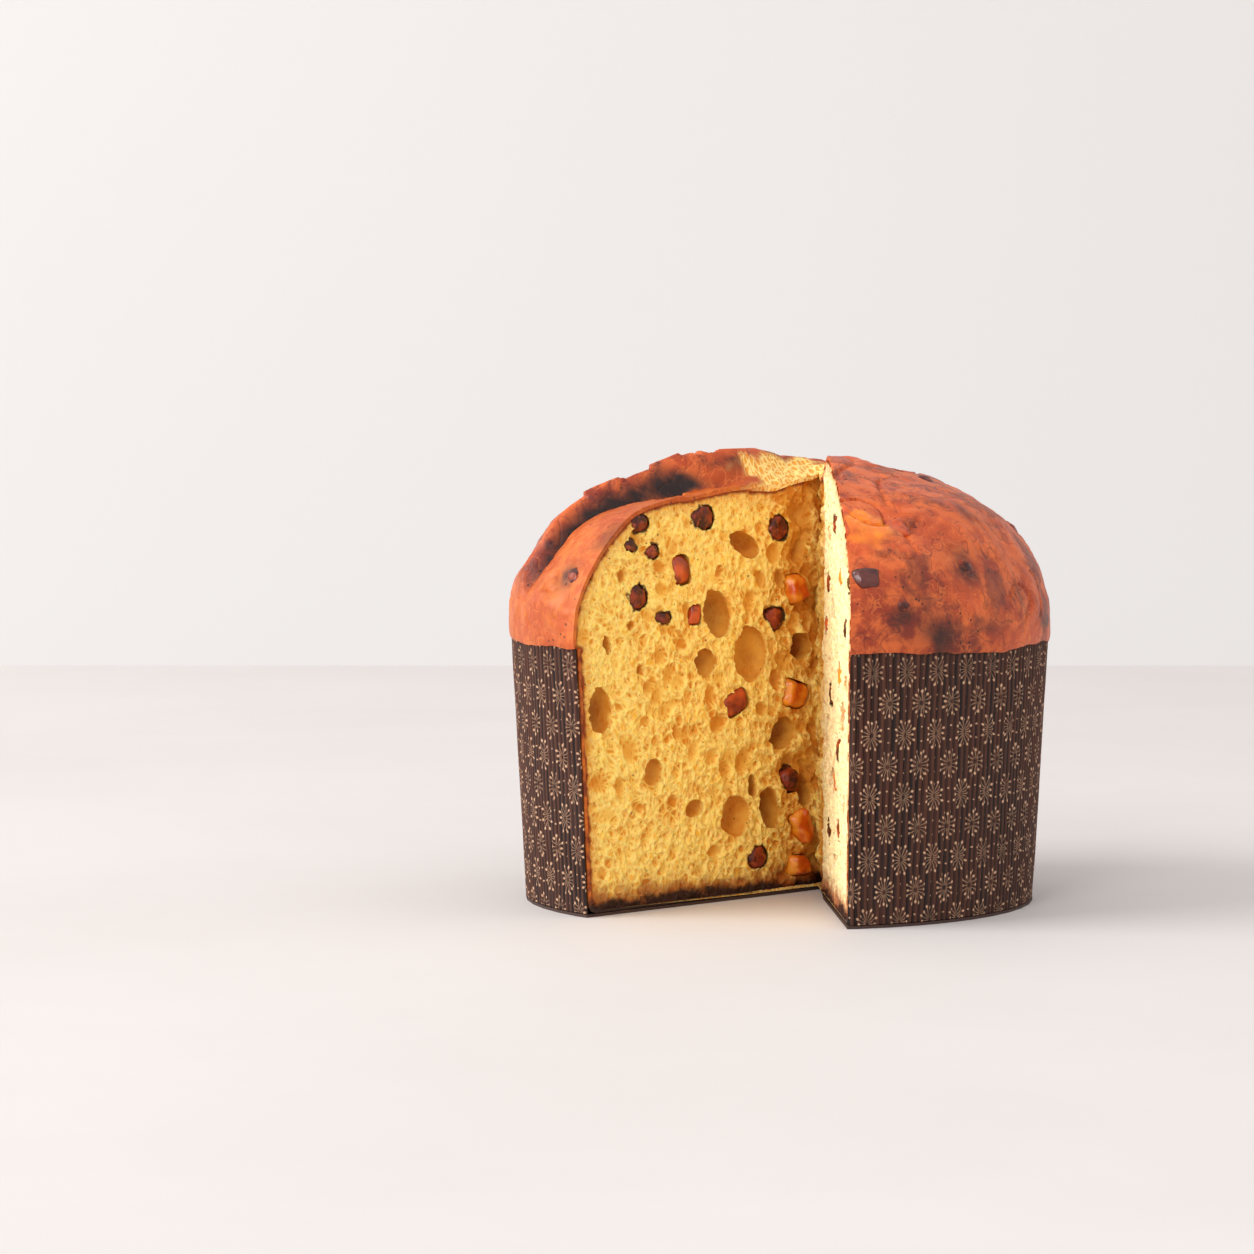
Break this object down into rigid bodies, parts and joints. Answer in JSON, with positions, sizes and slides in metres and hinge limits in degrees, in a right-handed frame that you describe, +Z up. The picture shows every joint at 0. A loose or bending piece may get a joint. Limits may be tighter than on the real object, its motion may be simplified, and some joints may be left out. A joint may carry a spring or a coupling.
{
  "type": "panettone",
  "caption": "Tall domed fruit bread in a pleated paper case, with one wedge cut out to show the open crumb, raisins and candied orange.",
  "frame": {"origin": "centre of the loaf's bounding box, on the surface that the case stands on", "axes": "+Z up along the loaf's axis; the cut wedge opens towards -Y and a little towards -X"},
  "size_m": [0.1914, 0.1896, 0.1583],
  "materials": {
    "bread": "matte",
    "case_paper": "matte",
    "raisin": "satin",
    "candied_orange": "satin"
  },
  "bodies": {
    "root": {"bread": "bread", "case_base": "case_paper", "case_wall": "case_paper", "orange_01": "candied_orange", "orange_02": "candied_orange", "orange_03": "candied_orange", "orange_04": "candied_orange", "orange_05": "candied_orange", "orange_06": "candied_orange", "orange_07": "candied_orange", "orange_08": "candied_orange", "orange_09": "candied_orange", "orange_10": "candied_orange", "orange_11": "candied_orange", "orange_12": "candied_orange", "orange_13": "candied_orange", "orange_14": "candied_orange", "orange_15": "candied_orange", "orange_16": "candied_orange", "raisin_01": "raisin", "raisin_02": "raisin", "raisin_03": "raisin", "raisin_04": "raisin", "raisin_05": "raisin", "raisin_06": "raisin", "raisin_07": "raisin", "raisin_08": "raisin", "raisin_09": "raisin", "raisin_10": "raisin", "raisin_11": "raisin", "raisin_12": "raisin", "raisin_13": "raisin", "raisin_14": "raisin", "raisin_15": "raisin", "raisin_16": "raisin", "raisin_17": "raisin", "raisin_18": "raisin", "raisin_19": "raisin", "raisin_20": "raisin", "raisin_21": "raisin", "raisin_22": "raisin", "raisin_23": "raisin", "raisin_24": "raisin", "raisin_25": "raisin"}
  },
  "joints": []
}
